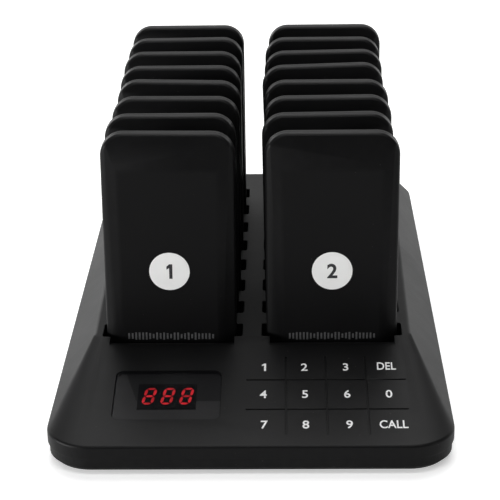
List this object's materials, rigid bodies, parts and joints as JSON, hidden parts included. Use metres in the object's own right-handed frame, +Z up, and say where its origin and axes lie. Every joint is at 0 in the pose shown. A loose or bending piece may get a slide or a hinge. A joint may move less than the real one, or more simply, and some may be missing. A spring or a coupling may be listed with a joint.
{
  "type": "guest paging set",
  "caption": "Coaster pagers parked upright in two columns on a low charging and transmitting base with a sloped front panel, a touch keypad and a small digit display.",
  "frame": {"origin": "on the floor, under the middle of the base's outline", "axes": "+Z up, the sloped panel faces -Y, +X to the right as it is read"},
  "size_m": [0.1526, 0.275, 0.1095],
  "materials": {
    "housing_plastic": "fine-textured satin black",
    "pager_plastic": "satin black",
    "window_lens": "smoked gloss",
    "display_block": "dark grey with red lit digits",
    "circuit_board": "green solder mask",
    "contact_metal": "plated",
    "inlet_plastic": "moulded black",
    "screw_steel": "zinc plated",
    "foot_rubber": "soft black"
  },
  "bodies": {
    "base": {"base_upper_housing": "housing_plastic", "base_lower_housing": "housing_plastic", "display_window": "window_lens", "display_module": "display_block", "touch_board": "circuit_board", "main_board": "circuit_board", "charging_boards": "circuit_board", "charging_studs": "contact_metal", "aerial": "contact_metal", "power_inlet": "inlet_plastic", "housing_screws": "screw_steel", "rubber_feet": "foot_rubber"},
    "pager_01": {"pager_01_front_cover": "pager_plastic", "pager_01_rear_cover": "pager_plastic", "pager_01_works": "circuit_board"},
    "pager_02": {"pager_02_front_cover": "pager_plastic", "pager_02_rear_cover": "pager_plastic", "pager_02_works": "circuit_board"},
    "pager_03": {"pager_03_front_cover": "pager_plastic", "pager_03_rear_cover": "pager_plastic", "pager_03_works": "circuit_board"},
    "pager_04": {"pager_04_front_cover": "pager_plastic", "pager_04_rear_cover": "pager_plastic", "pager_04_works": "circuit_board"},
    "pager_05": {"pager_05_front_cover": "pager_plastic", "pager_05_rear_cover": "pager_plastic", "pager_05_works": "circuit_board"},
    "pager_06": {"pager_06_front_cover": "pager_plastic", "pager_06_rear_cover": "pager_plastic", "pager_06_works": "circuit_board"},
    "pager_07": {"pager_07_front_cover": "pager_plastic", "pager_07_rear_cover": "pager_plastic", "pager_07_works": "circuit_board"},
    "pager_08": {"pager_08_front_cover": "pager_plastic", "pager_08_rear_cover": "pager_plastic", "pager_08_works": "circuit_board"},
    "pager_09": {"pager_09_front_cover": "pager_plastic", "pager_09_rear_cover": "pager_plastic", "pager_09_works": "circuit_board"},
    "pager_10": {"pager_10_front_cover": "pager_plastic", "pager_10_rear_cover": "pager_plastic", "pager_10_works": "circuit_board"},
    "pager_11": {"pager_11_front_cover": "pager_plastic", "pager_11_rear_cover": "pager_plastic", "pager_11_works": "circuit_board"},
    "pager_12": {"pager_12_front_cover": "pager_plastic", "pager_12_rear_cover": "pager_plastic", "pager_12_works": "circuit_board"},
    "pager_13": {"pager_13_front_cover": "pager_plastic", "pager_13_rear_cover": "pager_plastic", "pager_13_works": "circuit_board"},
    "pager_14": {"pager_14_front_cover": "pager_plastic", "pager_14_rear_cover": "pager_plastic", "pager_14_works": "circuit_board"},
    "pager_15": {"pager_15_front_cover": "pager_plastic", "pager_15_rear_cover": "pager_plastic", "pager_15_works": "circuit_board"},
    "pager_16": {"pager_16_front_cover": "pager_plastic", "pager_16_rear_cover": "pager_plastic", "pager_16_works": "circuit_board"}
  },
  "joints": [
    {"name": "pager_01_lift", "type": "slide", "parent": "base", "child": "pager_01", "axis": [0, 0, 1], "range_m": [0, 0.105]},
    {"name": "pager_02_lift", "type": "slide", "parent": "base", "child": "pager_02", "axis": [0, 0, 1], "range_m": [0, 0.105]},
    {"name": "pager_03_lift", "type": "slide", "parent": "base", "child": "pager_03", "axis": [0, 0, 1], "range_m": [0, 0.105]},
    {"name": "pager_04_lift", "type": "slide", "parent": "base", "child": "pager_04", "axis": [0, 0, 1], "range_m": [0, 0.105]},
    {"name": "pager_05_lift", "type": "slide", "parent": "base", "child": "pager_05", "axis": [0, 0, 1], "range_m": [0, 0.105]},
    {"name": "pager_06_lift", "type": "slide", "parent": "base", "child": "pager_06", "axis": [0, 0, 1], "range_m": [0, 0.105]},
    {"name": "pager_07_lift", "type": "slide", "parent": "base", "child": "pager_07", "axis": [0, 0, 1], "range_m": [0, 0.105]},
    {"name": "pager_08_lift", "type": "slide", "parent": "base", "child": "pager_08", "axis": [0, 0, 1], "range_m": [0, 0.105]},
    {"name": "pager_09_lift", "type": "slide", "parent": "base", "child": "pager_09", "axis": [0, 0, 1], "range_m": [0, 0.105]},
    {"name": "pager_10_lift", "type": "slide", "parent": "base", "child": "pager_10", "axis": [0, 0, 1], "range_m": [0, 0.105]},
    {"name": "pager_11_lift", "type": "slide", "parent": "base", "child": "pager_11", "axis": [0, 0, 1], "range_m": [0, 0.105]},
    {"name": "pager_12_lift", "type": "slide", "parent": "base", "child": "pager_12", "axis": [0, 0, 1], "range_m": [0, 0.105]},
    {"name": "pager_13_lift", "type": "slide", "parent": "base", "child": "pager_13", "axis": [0, 0, 1], "range_m": [0, 0.105]},
    {"name": "pager_14_lift", "type": "slide", "parent": "base", "child": "pager_14", "axis": [0, 0, 1], "range_m": [0, 0.105]},
    {"name": "pager_15_lift", "type": "slide", "parent": "base", "child": "pager_15", "axis": [0, 0, 1], "range_m": [0, 0.105]},
    {"name": "pager_16_lift", "type": "slide", "parent": "base", "child": "pager_16", "axis": [0, 0, 1], "range_m": [0, 0.105]}
  ]
}
